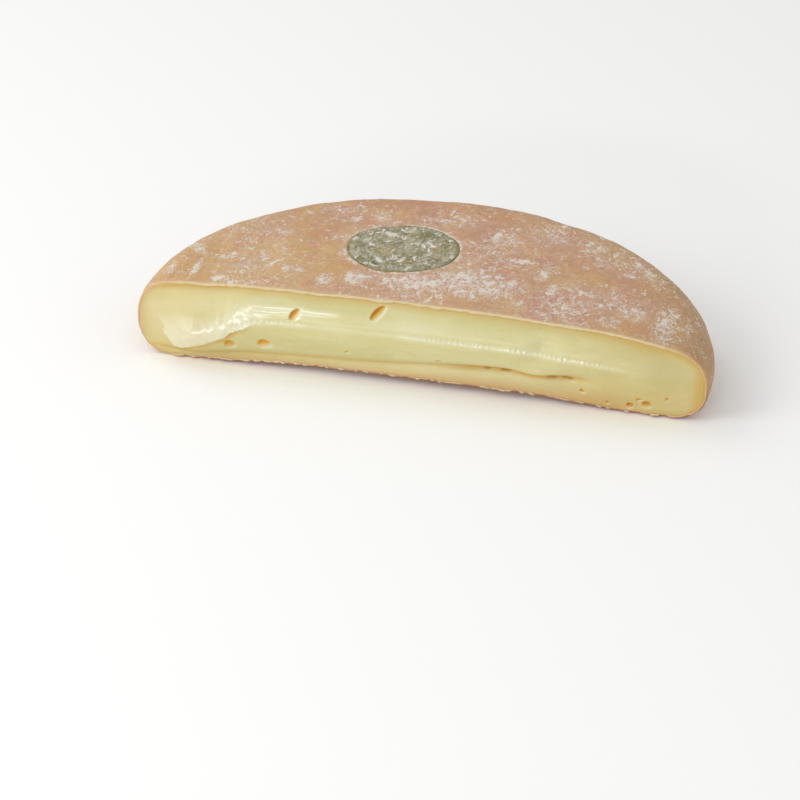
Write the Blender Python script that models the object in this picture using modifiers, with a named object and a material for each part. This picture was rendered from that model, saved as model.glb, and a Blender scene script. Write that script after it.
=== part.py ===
"""Half of a ripe washed-rind mountain cheese, lying flat, with its casein mark.

A wheel is turned, settled into its soft domed form and cut just in front of its
centre. The knife's face carries the relief of the paste, which swells out past the
rind, folds over a ledge near the bottom and is pitted with eyes.

Frame: X runs along the cut, the cut face looks towards -Y, Z is up, and the origin
is on the ground under the middle of the piece. All lengths are in metres.
"""

import math

import bmesh
import bpy
from mathutils import Matrix, Vector

MM = 0.001

# Wheel
HALF_LENGTH = 70 * MM       # middle of the cut to either end of the rim
WHEEL_DEPTH = 62 * MM       # centre of the wheel to the back of the rim
THICKNESS = 22 * MM         # top of the rind at the middle of the cut
SIDE_DEPTH = 8.5 * MM       # share of the radius taken up by the round side
SIDE_ROUNDNESS = 2.3        # exponent of the side's superellipse, 2 being an ellipse
RIPPLE = 0.004              # unevenness of the rim, as a share of the radius
SAG_EVEN = 1.8 * MM         # how far the top falls towards both ends
SAG_RIGHT = 1.3 * MM        # more fall on the right end, less on the left
SAG_SHOULDER = 2.5 * MM     # fall gathered close to the ends
SAG_BACK = 1.6 * MM         # fall of the top towards the back
DENT = 0.35 * MM            # height of the broad lumps in the rind
EDGE_LIFT = 1.6 * MM        # the soft bottom edge of the cut is curled up by this much
EDGE_LIFT_FULL = 22 * MM    # in the middle, up to this far from it
EDGE_LIFT_END = 57 * MM     # and lies flat again this far from the middle
EDGE_LIFT_REACH = 22 * MM   # or this far behind the cut

# Cut face
KNIFE_OFFSET = 5 * MM       # the cut runs this far in front of the wheel's centre
SWELL = 3.2 * MM            # the paste stands out past the rind by this much
LIP_RECESS = 0.5 * MM       # dip in the paste just under the top rind
LIP_HEIGHT = 0.92           # where that dip is deepest, as a share of the thickness
LEDGE = 0.7 * MM            # the bottom strip of paste stands forward by this much
FOLD = 0.9 * MM             # depth of the crease over the bottom strip
LOBE = 1.3 * MM             # extra swelling of the lobe that sags at the left end
VALLEY = 0.7 * MM           # depth of the soft upright fold right of the middle

# Casein mark
MARK_RADIUS = 14 * MM
MARK_THICKNESS = 1.0 * MM
MARK_PROUD = 0.25 * MM      # it stands above the rind by this much
MARK_BEVEL = 0.2 * MM
MARK_CENTRE = (-9.9 * MM, 24.0 * MM)
CLEARANCE = 0.3 * MM        # air between the mark and its pocket

# Fineness. The rows of the cut face are counted in bands: under the cheese, the
# bottom strip, up to the crest, up to the lip, the lip, and over the cheese.
WHEEL_STEPS = 100
TOP_RINGS = 9
SIDE_POINTS = 13
BOTTOM_RINGS = 4
FACE_COLUMNS = 116
FACE_BANDS = [2, 4, 8, 9, 3, 2]
FACE_MARGIN = 0.15          # the outer bands' height, as a share of the thickness
MARK_STEPS = 40
MARK_RINGS = 4

# The middle of the piece's length and depth, seen from the wheel's centre
CENTRE_X = 0.3 * MM
CENTRE_Y = (WHEEL_DEPTH - KNIFE_OFFSET - SWELL - LOBE) / 2 + 0.2 * MM

# Eyes and pits of the paste: place along the cut, height as a share of the thickness,
# then width, height and depth of the hollow, and its tilt in degrees.
EYES = [
    (-29.0 * MM, 0.71, 2.9 * MM, 1.9 * MM, 1.0 * MM, 40),
    (-9.0 * MM, 0.80, 3.6 * MM, 2.2 * MM, 1.5 * MM, 35),
    (-46.0 * MM, 0.24, 2.3 * MM, 1.7 * MM, 0.9 * MM, 0),
    (-36.5 * MM, 0.30, 3.0 * MM, 1.9 * MM, 1.0 * MM, 5),
    (-16.5 * MM, 0.30, 1.1 * MM, 0.8 * MM, 0.6 * MM, 0),
    (6.0 * MM, 0.33, 1.5 * MM, 0.9 * MM, 0.7 * MM, -10),
    (18.5 * MM, 0.27, 1.9 * MM, 0.8 * MM, 1.1 * MM, -5),
    (22.0 * MM, 0.28, 2.6 * MM, 0.9 * MM, 1.2 * MM, -5),
    (33.5 * MM, 0.32, 2.6 * MM, 0.9 * MM, 1.2 * MM, -6),
    (38.0 * MM, 0.33, 3.4 * MM, 1.0 * MM, 1.2 * MM, -8),
    (40.5 * MM, 0.18, 1.3 * MM, 0.8 * MM, 0.9 * MM, -20),
    (46.5 * MM, 0.10, 0.9 * MM, 0.7 * MM, 0.7 * MM, 0),
    (52.0 * MM, 0.12, 1.5 * MM, 1.4 * MM, 1.3 * MM, 0),
    (56.0 * MM, 0.19, 2.2 * MM, 1.8 * MM, 1.3 * MM, -15),
    (54.0 * MM, 0.29, 1.7 * MM, 0.8 * MM, 0.8 * MM, 10),
    (60.5 * MM, 0.31, 1.3 * MM, 1.2 * MM, 0.5 * MM, 0),
]

# Broad lumps: each is a plane wave of this length, turned by the golden angle from
# the one before it.
LUMP_WAVELENGTHS = [41 * MM, 31 * MM, 24 * MM, 18 * MM, 14 * MM, 11 * MM]
GOLDEN_ANGLE = math.radians(137.5)


def smooth_step(low, high, value):
    """0 below low, 1 above high, and an S-curve between them."""
    t = min(1.0, max(0.0, (value - low) / (high - low)))
    return t * t * (3 - 2 * t)


def bell(value, centre, width):
    """A bell curve that is 1 at the centre and 0.37 one width away."""
    return math.exp(-(((value - centre) / width) ** 2))


def lumps(x, y):
    """Broad unevenness from -1 to 1, the mean of the plane waves."""
    total = 0.0
    for i, wavelength in enumerate(LUMP_WAVELENGTHS):
        angle = i * GOLDEN_ANGLE
        along = x * math.cos(angle) + y * math.sin(angle)
        total += math.sin(math.tau * along / wavelength + 1.7 * i)
    return total / len(LUMP_WAVELENGTHS)


def top_height(x, y):
    """Height of the top rind, domed along the cut and towards the back."""
    u = x / HALF_LENGTH
    back = max(0.0, y + KNIFE_OFFSET) / (WHEEL_DEPTH + KNIFE_OFFSET)
    fall = SAG_EVEN * u**2 + SAG_RIGHT * u**3 + SAG_SHOULDER * u**4 + SAG_BACK * back**2
    return THICKNESS - fall + DENT * lumps(x, y)


def underside_height(x, y):
    """Height of the bottom rind: flat, but curled up a little along the cut."""
    near_middle = 1 - smooth_step(EDGE_LIFT_FULL, EDGE_LIFT_END, abs(x))
    near_cut = 1 - smooth_step(0, EDGE_LIFT_REACH, y + KNIFE_OFFSET)
    return EDGE_LIFT * near_middle * near_cut


def settled(x, y, level):
    """Moves a point of the true wheel, whose level runs from -1 to 1, to where the
    soft cheese has settled."""
    angle = math.atan2(y, x)
    swell = 1 + RIPPLE * (math.sin(3 * angle + 1.1) + 0.6 * math.sin(5 * angle + 0.4))
    radius = math.hypot(x, y) / HALF_LENGTH
    stretch = 1 + (swell - 1) * smooth_step(0.6, 1, radius)
    x = x * stretch
    y = y * stretch * WHEEL_DEPTH / HALF_LENGTH
    low = underside_height(x, y)
    high = top_height(x, y)
    return Vector((x, y, low + (high - low) * (level + 1) / 2))


def crest_height(x):
    """Where the paste swells out furthest, as a share of the thickness."""
    return 0.32 + 0.28 * smooth_step(-56 * MM, -34 * MM, x)


def crease_height(x):
    """Where the swollen paste folds over the bottom strip, as a share of the thickness."""
    return 0.08 + 0.20 * smooth_step(-40 * MM, 30 * MM, x)


def paste_relief(x, v):
    """How far the cut face stands forward of the knife's plane at a place along the
    cut and at v, the share of the thickness above the bottom rind."""
    crest = crest_height(x)
    crease = crease_height(x)
    if v > crest:
        rise = max(0.0, 1 - (v - crest) / (LIP_HEIGHT + 0.03 - crest))
        swell = math.sin(math.pi / 2 * rise) ** 1.3
    elif v > crease:
        swell = 1 - (1 - (v - crease) / (crest - crease)) ** 3
    else:
        swell = 0.0
    ends = smooth_step(0, 15 * MM, HALF_LENGTH - abs(x) - 1.5 * MM)
    forward = SWELL * swell * ends * (1 - 0.25 * bell(v, crease + 0.12, 0.14))
    forward += LEDGE * (1 - smooth_step(0, crease, v)) * ends
    forward -= FOLD * bell(v, crease, 0.045) * ends * (1 - smooth_step(48 * MM, 60 * MM, x))
    forward -= LIP_RECESS * bell(v, LIP_HEIGHT, 0.05) * ends
    lobe = bell(x, -55 * MM, 8 * MM) * smooth_step(0.06, 0.14, v) * (1 - smooth_step(0.3, 0.75, v))
    forward += LOBE * lobe * ends
    fold_line = (24 + 10 * v) * MM
    fold_span = smooth_step(0.3, 0.5, v) * (1 - smooth_step(0.75, 0.9, v))
    forward -= VALLEY * bell(x, fold_line, 3 * MM) * fold_span
    return forward


def cut_point(x, v, depth=0.0):
    """A point of the cut face, or one that lies depth in front of it."""
    low = underside_height(x, -KNIFE_OFFSET)
    high = top_height(x, -KNIFE_OFFSET)
    y = -KNIFE_OFFSET - paste_relief(x, min(1.0, max(0.0, v))) - depth
    return Vector((x, y, low + (high - low) * v))


def new_object(name, mesh, collection, parent=None, material=None):
    piece = bpy.data.objects.new(name, mesh)
    collection.objects.link(piece)
    piece.parent = parent
    if material:
        mesh.materials.append(material)
    return piece


def new_material(name, colour, roughness):
    material = bpy.data.materials.new(name)
    material.use_nodes = True
    shader = material.node_tree.nodes["Principled BSDF"]
    shader.inputs["Base Color"].default_value = (*colour, 1)
    shader.inputs["Roughness"].default_value = roughness
    shader.inputs["Metallic"].default_value = 0
    return material


def turned_mesh(name, profile, steps):
    """The closed mesh that a profile of (radius, height) points, running from the
    top of the axis to its bottom, makes when it is turned."""
    line = bpy.data.meshes.new(name + "_profile")
    line.from_pydata(
        [(r, 0, z) for r, z in profile],
        [(i, i + 1) for i in range(len(profile) - 1)],
        [],
    )
    blank = bpy.data.objects.new(name + "_blank", line)
    bpy.context.scene.collection.objects.link(blank)
    screw = blank.modifiers.new("turn", "SCREW")
    screw.axis = "Z"
    screw.steps = screw.render_steps = steps
    screw.use_merge_vertices = True
    screw.merge_threshold = 0.01 * MM
    evaluated = blank.evaluated_get(bpy.context.evaluated_depsgraph_get())
    mesh = bpy.data.meshes.new_from_object(evaluated)
    mesh.name = name
    bpy.data.objects.remove(blank)
    return mesh


def wheel_profile():
    """Level top, round side and level bottom, with heights from 1 to -1."""
    flat = HALF_LENGTH - SIDE_DEPTH
    points = [(flat * i / TOP_RINGS, 1.0) for i in range(TOP_RINGS)]
    for i in range(SIDE_POINTS):
        angle = math.pi / 2 - math.pi * i / (SIDE_POINTS - 1)
        out = abs(math.cos(angle)) ** (2 / SIDE_ROUNDNESS)
        level = math.copysign(abs(math.sin(angle)) ** (2 / SIDE_ROUNDNESS), math.sin(angle))
        points.append((flat + SIDE_DEPTH * out, level))
    points += [(flat * i / BOTTOM_RINGS, -1.0) for i in range(BOTTOM_RINGS - 1, -1, -1)]
    return points


def mark_mesh(name, radius, below, above):
    """A flat round plate that follows the top rind, from a depth below it to a
    height above it."""
    profile = [(radius * i / MARK_RINGS, above) for i in range(MARK_RINGS)]
    profile += [(radius - MARK_BEVEL, above), (radius, above - MARK_BEVEL), (radius, -below)]
    profile += [(radius * i / MARK_RINGS, -below) for i in range(MARK_RINGS - 1, -1, -1)]
    mesh = turned_mesh(name, profile, MARK_STEPS)
    centre = Vector((*MARK_CENTRE, 0))
    for vertex in mesh.vertices:
        place = vertex.co + centre
        vertex.co = (place.x, place.y, place.z + top_height(place.x, place.y))
    return mesh


def make_wheel(collection, parent, material):
    mesh = turned_mesh("cheese", wheel_profile(), WHEEL_STEPS)
    for vertex in mesh.vertices:
        vertex.co = settled(*vertex.co)
    mesh.shade_smooth()
    return new_object("cheese", mesh, collection, parent, material)


def row_height(x, row):
    """The height of a row of the cut face, as a share of the thickness. Whole rows
    run along the bottom rind, the crease, the crest, the lip and the top rind."""
    heights = [-FACE_MARGIN, 0, crease_height(x), crest_height(x), LIP_HEIGHT, 1, 1 + FACE_MARGIN]
    for band, count in enumerate(FACE_BANDS):
        if row <= count or band == len(FACE_BANDS) - 1:
            return heights[band] + (heights[band + 1] - heights[band]) * row / count
        row -= count


def make_knife(collection, parent, material):
    """The block of cheese that the knife takes away. Its back is the cut face."""
    reach = 90 * MM
    width = 2 * (HALF_LENGTH + 6 * MM)
    rows = sum(FACE_BANDS)
    bm = bmesh.new()
    bmesh.ops.create_grid(bm, x_segments=FACE_COLUMNS, y_segments=rows, size=0.5)
    for vertex in bm.verts:
        x = vertex.co.x * width
        vertex.co = cut_point(x, row_height(x, (vertex.co.y + 0.5) * rows))
    front = bmesh.ops.extrude_face_region(bm, geom=bm.faces[:])["geom"]
    moved = [g for g in front if isinstance(g, bmesh.types.BMVert)]
    for vertex in moved:
        vertex.co.y = -reach
    bmesh.ops.recalc_face_normals(bm, faces=bm.faces[:])
    mesh = bpy.data.meshes.new("knife")
    bm.to_mesh(mesh)
    bm.free()
    return new_object("knife", mesh, collection, parent, material)


def make_eye(index, eye, collection, parent, material):
    """An ellipsoid sunk almost to its middle in the cut face."""
    x, v, width, height, depth, tilt = eye
    small = width < 2 * MM
    proud = 0.15 * depth
    bm = bmesh.new()
    bmesh.ops.create_uvsphere(
        bm, u_segments=10 if small else 16, v_segments=6 if small else 9, radius=1
    )
    turn = Matrix.Rotation(math.radians(-tilt), 4, "Y")
    size = Matrix.Diagonal((width / 2, depth, height / 2, 1))
    bm.transform(Matrix.Translation(cut_point(x, v, proud)) @ turn @ size)
    mesh = bpy.data.meshes.new(f"eye_{index}")
    bm.to_mesh(mesh)
    bm.free()
    return new_object(f"eye_{index}", mesh, collection, parent, material)


def cut_away(piece, cutter):
    """Takes the cutter out of the piece, and leaves the cutter's material on the cut."""
    boolean = piece.modifiers.new(cutter.name, "BOOLEAN")
    boolean.operation = "DIFFERENCE"
    boolean.solver = "EXACT"
    boolean.material_mode = "TRANSFER"
    boolean.object = cutter
    cutter.hide_render = True
    cutter.display_type = "WIRE"


def main():
    for old in list(bpy.data.objects):
        bpy.data.objects.remove(old)
    scene = bpy.context.scene.collection
    model = bpy.data.collections.new("half_cheese")
    cutters = bpy.data.collections.new("cutters")
    scene.children.link(model)
    scene.children.link(cutters)
    centre = bpy.data.objects.new("wheel_centre", None)
    model.objects.link(centre)
    centre.location = (-CENTRE_X, -CENTRE_Y, 0)

    rind = new_material("washed_rind", (0.64, 0.40, 0.22), 0.75)
    paste = new_material("soft_paste", (0.76, 0.64, 0.30), 0.35)
    casein = new_material("green_casein", (0.30, 0.31, 0.18), 0.7)

    cheese = make_wheel(model, centre, rind)
    cut_away(cheese, make_knife(cutters, centre, paste))
    for index, eye in enumerate(EYES):
        cut_away(cheese, make_eye(index, eye, cutters, centre, paste))
    pocket_depth = MARK_THICKNESS - MARK_PROUD + CLEARANCE
    pocket = mark_mesh("pocket", MARK_RADIUS + CLEARANCE, pocket_depth, 3 * MM)
    cut_away(cheese, new_object("pocket", pocket, cutters, centre, rind))

    mark = mark_mesh("casein_mark", MARK_RADIUS, MARK_THICKNESS - MARK_PROUD, MARK_PROUD)
    mark.shade_smooth()
    mark.set_sharp_from_angle(angle=math.radians(40))
    new_object("casein_mark", mark, model, centre, casein)


main()
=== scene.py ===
# Half of a ripe washed-rind mountain cheese with its casein mark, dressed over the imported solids.
# Shapes are worked out in millimetres and become metres when they are put into a mesh.

import math
from functools import partial

import bmesh
import bpy
import numpy as np
from mathutils import Matrix, Vector


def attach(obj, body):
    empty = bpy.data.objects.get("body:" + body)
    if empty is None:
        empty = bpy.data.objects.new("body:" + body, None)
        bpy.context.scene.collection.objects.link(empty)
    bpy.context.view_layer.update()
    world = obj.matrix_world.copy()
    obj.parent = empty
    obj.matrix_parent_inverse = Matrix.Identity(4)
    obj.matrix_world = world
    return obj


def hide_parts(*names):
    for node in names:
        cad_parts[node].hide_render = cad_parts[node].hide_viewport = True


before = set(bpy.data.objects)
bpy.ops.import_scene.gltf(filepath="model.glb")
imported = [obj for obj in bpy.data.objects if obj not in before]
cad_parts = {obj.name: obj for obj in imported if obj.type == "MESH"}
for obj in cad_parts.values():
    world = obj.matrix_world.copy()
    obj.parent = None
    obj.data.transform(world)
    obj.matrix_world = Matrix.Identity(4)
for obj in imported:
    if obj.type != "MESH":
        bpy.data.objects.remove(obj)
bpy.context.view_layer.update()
print("frame loaded:", ", ".join(sorted(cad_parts)))

# The wheel that the half was cut from, the same dimensions as the solid's
wheel = {
    "halfLength": 70.0,        # middle of the cut to either end of the rim
    "depth": 62.0,             # centre of the wheel to the back of the rim
    "thickness": 22.0,
    "sideDepth": 8.5,          # share of the radius taken up by the round side
    "sideRoundness": 2.3,      # superellipse exponent of the side
    "ripple": 0.004,           # unevenness of the rim, as a share of the radius
    "rippleWaves": [(1, 3, 1.1), (0.6, 5, 0.4)],   # strength, waves in a full round, phase
    "sagEven": 1.8,            # fall of the top towards both ends
    "sagRight": 1.3,
    "sagShoulder": 2.5,
    "sagBack": 1.6,
    "dent": 0.35,              # height of the broad lumps
    "lumpWavelengths": [41, 31, 24, 18, 14, 11],
    "edgeLift": 1.6,           # the bottom edge of the cut curls up by this much
    "edgeLiftFull": 22.0,      # in the middle, up to this far from it
    "edgeLiftEnd": 57.0,
    "edgeLiftReach": 22.0,     # behind the cut
    "knifeOffset": 5.0,        # the cut runs this far in front of the wheel's centre
    "middle": (0.3, 26.45),    # the box's middle, seen from the wheel's centre
}


def smoothStep(low, high, value):
    # 0 below low, 1 above high and an S-curve between them
    t = np.clip((value - low) / (high - low), 0, 1)
    return t * t * (3 - 2 * t)


def bell(value, centre, width):
    # a bell curve, 1 at the centre and 0.37 one width away
    return np.exp(-(((value - centre) / width) ** 2))


def span(value, start, full, fade, end):
    # 0 below start, 1 from full to fade and 0 above end, with S-curves between them
    return smoothStep(start, full, value) * (1 - smoothStep(fade, end, value))


def latticeNoise(x, y, z, cell, seed):
    # random numbers from -1 to 1 on the corners of cubes of this size, blended by an S-curve;
    # a corner takes its number from a table, at the place that comes of multiplying its three
    # counts of cells by large primes and mixing the products bit by bit
    tableSize = 8192
    table = np.random.default_rng(seed).uniform(-1, 1, tableSize)
    place = np.stack(np.broadcast_arrays(x, y, z)).astype(float) / cell
    corner = np.floor(place).astype(np.int64)
    t = place - corner
    t = t * t * (3 - 2 * t)
    total = 0
    for i in range(8):
        step = np.array([i & 1, i >> 1 & 1, i >> 2 & 1]).reshape([3] + [1] * (place.ndim - 1))
        a, b, c = corner + step
        pick = (a * 73856093 ^ b * 19349663 ^ c * 83492791) & (tableSize - 1)
        total = total + table[pick] * np.prod(np.where(step == 1, t, 1 - t), axis=0)
    return total


def fractalNoise(x, y, z, cell, octaves, seed):
    # lattice noise at this cell size plus finer and weaker copies of it
    return sum(latticeNoise(x, y, z, cell / 2**i, seed + i) * 0.5**i for i in range(octaves))


def layeredNoise(x, y, z, layers):
    # fractal noises added up, each with its height in mm, its cell, its octaves and its seed
    return sum(height * fractalNoise(x, y, z, *settings) for height, *settings in layers)


def patchStrength(x, y, patches):
    # the strongest of the patches, each flat in its middle and falling off steeply past its edge
    strongest = 0 * x
    for px, py, halfLength, halfWidth, turn, strength in patches:
        c, s = math.cos(math.radians(turn)), math.sin(math.radians(turn))
        along = ((x - px) * c + (y - py) * s) / halfLength
        across = ((y - py) * c - (x - px) * s) / halfWidth
        strongest = np.maximum(strongest, strength * np.exp(-0.6 * (along**2 + across**2) ** 1.5))
    return strongest


def lumps(x, y):
    # mean of plane waves, each turned by the golden angle from the one before and out of
    # step with it by the same phase
    turn = math.radians(137.5)
    phase = 1.7
    waves = []
    for i, length in enumerate(wheel["lumpWavelengths"]):
        along = x * math.cos(i * turn) + y * math.sin(i * turn)
        waves.append(np.sin(math.tau * along / length + phase * i))
    return sum(waves) / len(waves)


def topHeight(x, y):
    # thickness less a fall that grows with even and odd powers of x and with the square of y
    u = x / wheel["halfLength"]
    back = np.maximum(0, y + wheel["knifeOffset"]) / (wheel["depth"] + wheel["knifeOffset"])
    fall = wheel["sagEven"] * u**2 + wheel["sagRight"] * u**3 + wheel["sagShoulder"] * u**4
    return wheel["thickness"] - fall - wheel["sagBack"] * back**2 + wheel["dent"] * lumps(x, y)


def undersideHeight(x, y):
    # flat, with the middle of a strip along the cut curled up in an S-curve
    nearMiddle = 1 - smoothStep(wheel["edgeLiftFull"], wheel["edgeLiftEnd"], np.abs(x))
    nearCut = 1 - smoothStep(0, wheel["edgeLiftReach"], y + wheel["knifeOffset"])
    return wheel["edgeLift"] * nearMiddle * nearCut


def angleWaves(angle, waves):
    # sines round a full turn added up, each with its strength, its number and its phase
    return sum(strength * np.sin(number * angle + phase) for strength, number, phase in waves)


def settled(x, y, level):
    # a point of the true round wheel, level running from -1 to 1, moved to where the
    # cheese has settled: a rippled rim, a shorter depth, and heights between the rinds
    angle = np.arctan2(y, x)
    swell = wheel["ripple"] * angleWaves(angle, wheel["rippleWaves"])
    stretch = 1 + swell * smoothStep(0.6, 1, np.hypot(x, y) / wheel["halfLength"])
    x = x * stretch
    y = y * stretch * wheel["depth"] / wheel["halfLength"]
    low = undersideHeight(x, y)
    high = topHeight(x, y)
    return np.stack([x, y, low + (high - low) * (level + 1) / 2], axis=-1)


def gridQuads(rows, columns, wrapRows=False, wrapColumns=False):
    # the four corners of each cell of a grid of points numbered row by row
    r = np.arange(rows if wrapRows else rows - 1)[:, None]
    c = np.arange(columns if wrapColumns else columns - 1)[None, :]
    r2 = (r + 1) % rows
    c2 = (c + 1) % columns
    cells = [r * columns + c, r * columns + c2, r2 * columns + c2, r2 * columns + c]
    return np.stack(np.broadcast_arrays(*cells), axis=-1).reshape(-1, 4)


def addObject(name, data):
    # a mesh, camera or light put into the scene under this name
    item = bpy.data.objects.new(name, data)
    bpy.context.scene.collection.objects.link(item)
    return item


def meshPiece(name, points, quads, attributes):
    # points in millimetres from the wheel's centre, moved to the frame and made metres
    points = np.asarray(points).reshape(-1, 3) - np.array([*wheel["middle"], 0])
    mesh = bpy.data.meshes.new(name)
    mesh.vertices.add(len(points))
    mesh.vertices.foreach_set("co", (points * 0.001).ravel())
    mesh.loops.add(quads.size)
    mesh.loops.foreach_set("vertex_index", quads.ravel())
    mesh.polygons.add(len(quads))
    mesh.polygons.foreach_set("loop_start", np.arange(0, quads.size, 4))
    for key, values in attributes.items():
        layer = mesh.attributes.new(key, "FLOAT", "POINT")
        layer.data.foreach_set("value", np.asarray(values, dtype=float).ravel())
    mesh.update(calc_edges=True)
    samePlace = 0.0000002      # m
    bm = bmesh.new()
    bm.from_mesh(mesh)
    bmesh.ops.remove_doubles(bm, verts=bm.verts[:], dist=samePlace)
    bmesh.ops.dissolve_degenerate(bm, edges=bm.edges[:], dist=samePlace)
    bmesh.ops.recalc_face_normals(bm, faces=bm.faces[:])
    openEdges = sum(not edge.is_manifold for edge in bm.edges)
    bm.to_mesh(mesh)
    bm.free()
    mesh.shade_smooth()
    piece = addObject(name, mesh)
    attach(piece, "root")
    print(f"{name}: {len(mesh.polygons)} faces, {openEdges} open edges")
    return piece


def linear(colour):
    # sRGB hex to linear RGBA
    parts = [int(colour[i:i + 2], 16) / 255 for i in (1, 3, 5)]
    return [p / 12.92 if p <= 0.04045 else ((p + 0.055) / 1.055) ** 2.4 for p in parts] + [1]


def addNode(tree, kind, links=None, output=0, **settings):
    # one node: links maps an input's name or number to a socket, a number or a hex colour,
    # and the output socket of this name or number comes back
    node = tree.nodes.new("ShaderNode" + kind)
    for key, value in settings.items():
        setattr(node, key, value)
    for key, value in (links or {}).items():
        if isinstance(value, bpy.types.NodeSocket):
            tree.links.new(value, node.inputs[key])
        else:
            node.inputs[key].default_value = linear(value) if isinstance(value, str) else value
    return node.outputs[output] if node.outputs else None


# Settings of a Mix node for colours, and of a Map Range node with an S-curve
colourMix = {"output": 2, "data_type": "RGBA"}
smoothRange = {"interpolation_type": "SMOOTHSTEP"}


def newMaterial(name):
    # an empty material, and addNode bound to its tree
    material = bpy.data.materials.new(name)
    material.use_nodes = True
    material.node_tree.nodes.clear()
    return material, partial(addNode, material.node_tree)


def patternScale(width, stretch=(1, 1, 1)):
    # the scale, for places in metres, of a pattern this many millimetres wide
    return [1000 / (width * s) for s in stretch]


def layPatches(node, place, colour, patches):
    # each patch colour is mixed in by a noise of its own width: none of it up to the first
    # level, its full share from the second on, and each noise from a place of its own
    for i, (hue, width, stretch, low, high, share) in enumerate(patches):
        moved = node("Mapping", {"Vector": place, "Location": (3.7 * i, 1.9 * i, 5.3 * i),
                                 "Scale": patternScale(width, stretch)})
        noise = node("TexNoise", {"Vector": moved, "Scale": 1, "Detail": 5, "Roughness": 0.62,
                                  "Distortion": 0.5})
        shown = node("MapRange", {0: noise, 1: low, 2: high, 4: share}, **smoothRange)
        colour = node("Mix", {0: shown, 6: colour, 7: hue}, **colourMix)
    return colour


# Camera at the photo's view

view = {
    "azimuth": 12.4,           # degrees to the right of straight ahead of the cut
    "elevation": 29.14,
    "roll": 1.22,
    "distance": 600.0,         # mm
    "target": (-1.47, -42.1, 1.56),
    "lens": 114.3,
}


def makeCamera():
    a, e, r = (math.radians(view[key]) for key in ("azimuth", "elevation", "roll"))
    back = Vector((math.sin(a) * math.cos(e), -math.cos(a) * math.cos(e), math.sin(e)))
    right = Vector((0, 0, 1)).cross(back).normalized()
    up = back.cross(right)
    rolledRight = math.cos(r) * right + math.sin(r) * up
    rolledUp = math.cos(r) * up - math.sin(r) * right
    place = (Vector(view["target"]) + back * view["distance"]) * 0.001
    data = bpy.data.cameras.new("camera")
    data.lens = view["lens"]
    data.sensor_width = 36
    data.clip_start = 0.01
    camera = addObject("camera", data)
    turn = Matrix((rolledRight, rolledUp, back)).transposed().to_4x4()
    camera.matrix_world = Matrix.Translation(place) @ turn
    bpy.context.scene.camera = camera


# Casein mark

mark = {
    "radius": 13.9,
    "centre": (-9.9, 24.0),
    "proud": 0.12,             # above the rind at its middle
    "thickness": 0.95,
    "edge": 0.35,              # radius of its worn edge
    "clipTowards": 236,        # degrees, where its outline is flattened
    "clipAt": 0.955,           # share of the radius
    "outlineWaves": [(0.012, 2, 0.6), (0.008, 5, 0), (0.004, 11, 2)],   # share, number, phase
    "turns": 220,              # points round it
    "topRings": 60,
    "edgeRings": 5,
    # unevenness of the worn top: height in mm, cell, octaves, seed
    "wear": [(0.09, 2.6, 4, 71), (0.10, 7, 2, 75)],
    # where white mould has eaten into it: x and y from its middle, half the patch's length and
    # width, its turn in degrees and its strength
    "mouldPatches": [
        (-4.9, 7.5, 1.5, 1.6, 0, 1.0),
        (-7.8, 0.1, 1.0, 1.1, 0, 0.85),
        (7.0, 3.1, 0.9, 1.1, 0, 0.85),
        (-5.0, -7.4, 3.2, 0.8, -50, 0.8),
        (0.9, -6.8, 1.4, 1.3, 0, 0.8),
        (7.9, -6.0, 4.0, 2.6, 0, 0.45),
    ],
}


def markOutline(angle):
    # a circle with slow waves, flattened along one chord
    away = np.cos(angle - math.radians(mark["clipTowards"]))
    chord = mark["clipAt"] / np.maximum(away, 0.2)
    return mark["radius"] * np.minimum(1 + angleWaves(angle, mark["outlineWaves"]), chord)


def makeMark():
    # rings carried outwards over the top, round the worn edge, and back under
    angle = np.linspace(0, math.tau, mark["turns"], endpoint=False)[None, :]
    top = np.zeros(mark["topRings"])
    bend = np.linspace(0, math.pi / 2, mark["edgeRings"] + 1)[1:]
    edge = mark["edge"]
    outward = np.concatenate([top, edge * np.sin(bend), [edge] * 3])[:, None]
    drop = np.concatenate([top, edge * (1 - np.cos(bend)), [mark["thickness"]] * 3])[:, None]
    share = np.concatenate([np.linspace(0, 1, len(top)), np.ones(len(bend)), [1, 0.5, 0]])[:, None]
    radius = (markOutline(angle) - edge) * share + outward * (share > 0.99)
    fromMiddleX = radius * np.cos(angle)
    fromMiddleY = radius * np.sin(angle)
    x = mark["centre"][0] + fromMiddleX
    y = mark["centre"][1] + fromMiddleY
    onTop = 1 - smoothStep(0, mark["thickness"] * 0.6, drop)
    z = topHeight(x, y) + mark["proud"] - drop + layeredNoise(x, y, 0, mark["wear"]) * onTop
    masks = {
        "rimShare": radius / mark["radius"],
        "mould": patchStrength(fromMiddleX, fromMiddleY, mark["mouldPatches"]),
    }
    points = np.stack([x, y, z], axis=-1)
    piece = meshPiece("caseinMark", points, gridQuads(*x.shape, wrapColumns=True), masks)
    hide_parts("casein_mark")
    return piece


# Rind

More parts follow.
